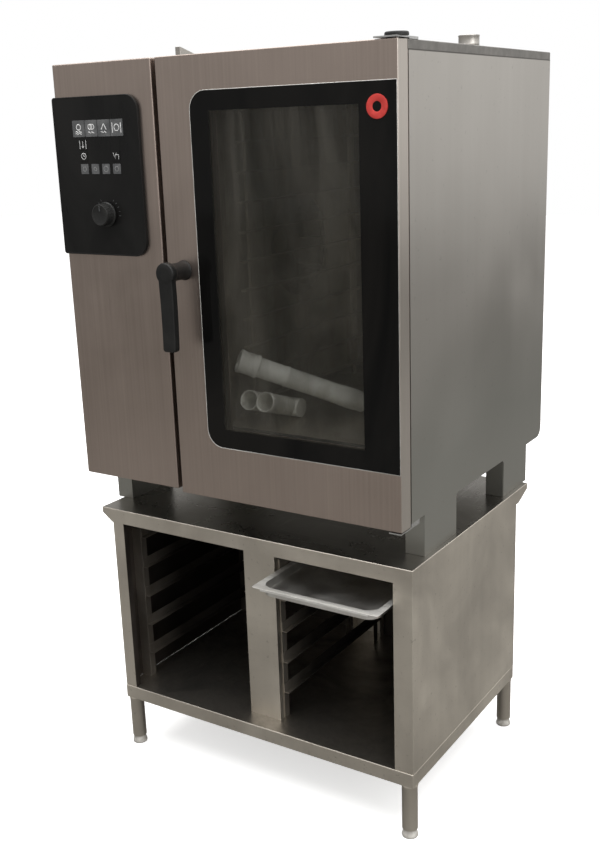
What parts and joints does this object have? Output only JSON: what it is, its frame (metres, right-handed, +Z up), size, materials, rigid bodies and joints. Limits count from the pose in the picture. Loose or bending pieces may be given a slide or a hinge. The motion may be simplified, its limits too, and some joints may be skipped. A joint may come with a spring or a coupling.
{
  "type": "combi steamer oven",
  "caption": "Commercial combi steamer oven with a side-hinged glass door, lever handle and control panel, standing on an open stand with tray runners.",
  "frame": {"origin": "on the floor, at the centre of the overall footprint", "axes": "+Z up, the door faces -Y, +X to the right of someone facing the door"},
  "size_m": [0.8914, 0.886, 1.738],
  "materials": {
    "steel_front": "vertical brushed stainless, warm grey",
    "steel_casing": "brushed stainless, warm grey",
    "steel_stand": "dull worn stainless",
    "foot_plastic": "pale moulded plastic",
    "black_panel": "satin black",
    "key_print": "pale grey printed fields",
    "black_plastic": "matte black moulded plastic",
    "glass_dark": "tinted glass with a black printed border",
    "glass_clear": "clear heat reflecting glass",
    "badge_red": "plain red",
    "seal_rubber": "black silicone",
    "chamber_steel": "heat dulled stainless",
    "mineral_wool": "mineral wool",
    "heater_alloy": "oxidised alloy",
    "motor_paint": "dark grey paint",
    "circuit_board": "green board",
    "turned_steel": "machined",
    "service_metal": "plain",
    "tray_steel": "polished, used",
    "grey_pipe": "grey pipe plastic"
  },
  "bodies": {
    "cabinet": {"stand_top": "steel_stand", "stand_side_left": "steel_stand", "stand_side_right": "steel_stand", "stand_shelf": "steel_stand", "stand_post_front": "steel_stand", "stand_back_sheet": "steel_stand", "stand_post_rear": "steel_stand", "runners_left_outer": "steel_stand", "runners_left_inner": "steel_stand", "runners_right_inner": "steel_stand", "runners_right_outer": "steel_stand", "stand_leg_front_left": "steel_stand", "stand_foot_front_left": "foot_plastic", "stand_leg_front_right": "steel_stand", "stand_foot_front_right": "foot_plastic", "stand_leg_rear_left": "steel_stand", "stand_foot_rear_left": "foot_plastic", "stand_leg_rear_right": "steel_stand", "stand_foot_rear_right": "foot_plastic", "chassis": "steel_casing", "side_panel_left": "steel_casing", "side_panel_right": "steel_casing", "roof": "steel_casing", "rear_panel": "steel_casing", "fascia": "steel_front", "vent_stub": "steel_casing", "vent_hood": "steel_casing", "service_plate": "service_metal", "control_panel": "black_panel", "control_keys": "key_print", "control_board": "circuit_board", "hinge_plate_upper": "steel_casing", "hinge_cap": "black_plastic", "hinge_plate_lower": "steel_casing", "front_frame": "steel_casing", "cavity": "chamber_steel", "insulation": "mineral_wool", "latch_keeper": "turned_steel", "door_seal": "seal_rubber", "air_baffle": "chamber_steel", "rack_left": "chamber_steel", "rack_right": "chamber_steel", "heater_ring": "heater_alloy", "fan_motor": "motor_paint", "drain_pot": "chamber_steel", "drain_kit_pipe": "grey_pipe", "drain_kit_elbow": "grey_pipe"},
    "door": {"door_shell": "steel_front", "door_inner": "steel_casing", "glass_outer": "glass_dark", "glass_inner": "glass_clear", "badge": "badge_red", "hinge_block_upper": "turned_steel", "hinge_block_lower": "turned_steel"},
    "door_handle": {"handle_lever": "black_plastic", "latch_cam": "turned_steel"},
    "dial_stem": {"dial_stem": "turned_steel"},
    "dial": {"dial": "black_plastic"},
    "fan": {"fan_wheel": "chamber_steel"},
    "tray": {"tray": "tray_steel"}
  },
  "joints": [
    {"name": "door_swing", "type": "hinge", "parent": "cabinet", "child": "door", "pos_m": [0.41975, -0.357, 0.658], "axis": [0, 0, 1], "range_deg": [0, 130]},
    {"name": "handle_turn", "type": "hinge", "parent": "door", "child": "door_handle", "pos_m": [-0.09825, -0.373, 1.268], "axis": [0, -1, 0], "range_deg": [0, 180]},
    {"name": "dial_press", "type": "slide", "parent": "cabinet", "child": "dial_stem", "axis": [0, 1, 0], "range_m": [0, 0.002], "stiffness_N_per_m": 1500},
    {"name": "dial_turn", "type": "hinge", "parent": "dial_stem", "child": "dial", "pos_m": [-0.30025, -0.373, 1.387], "axis": [0, 1, 0], "continuous": true},
    {"name": "fan_spin", "type": "hinge", "parent": "cabinet", "child": "fan", "pos_m": [-0.18525, 0.0455, 1.282], "axis": [1, 0, 0], "continuous": true},
    {"name": "tray_slide", "type": "slide", "parent": "cabinet", "child": "tray", "axis": [0, -1, 0], "range_m": [-0.08, 0.25]}
  ]
}
